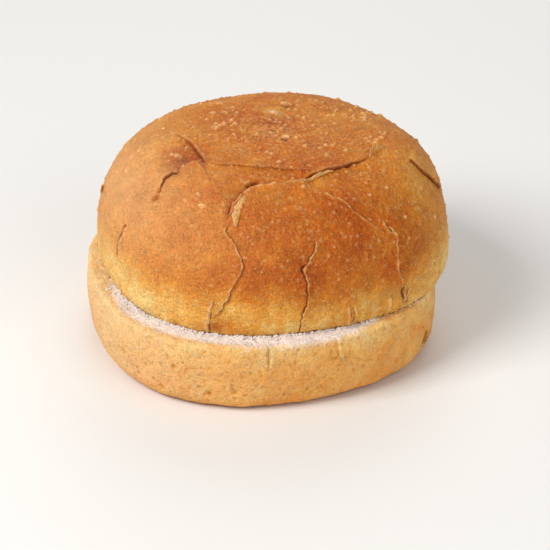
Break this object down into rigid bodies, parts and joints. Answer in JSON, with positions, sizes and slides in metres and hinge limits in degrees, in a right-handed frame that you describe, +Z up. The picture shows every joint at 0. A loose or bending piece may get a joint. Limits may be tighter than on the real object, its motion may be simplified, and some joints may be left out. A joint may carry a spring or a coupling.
{
  "type": "burger bun",
  "caption": "Round sliced bread bun: a tall golden-brown domed crown resting slightly off centre on a flat-cut heel.",
  "frame": {"origin": "the middle of the heel's flat underside", "axes": "+Z is up, away from the flat underside and towards the crown's top; -Y is the bun's front, where the crown is set back and shows the cut face of the heel; +X is to the right seen from the front"},
  "size_m": [0.1015, 0.1055, 0.0584],
  "materials": {
    "crown_crust": "satin",
    "heel_crust": "matte",
    "crumb": "matte"
  },
  "bodies": {
    "root": {"crown": "crown_crust", "heel": "heel_crust"}
  },
  "joints": []
}
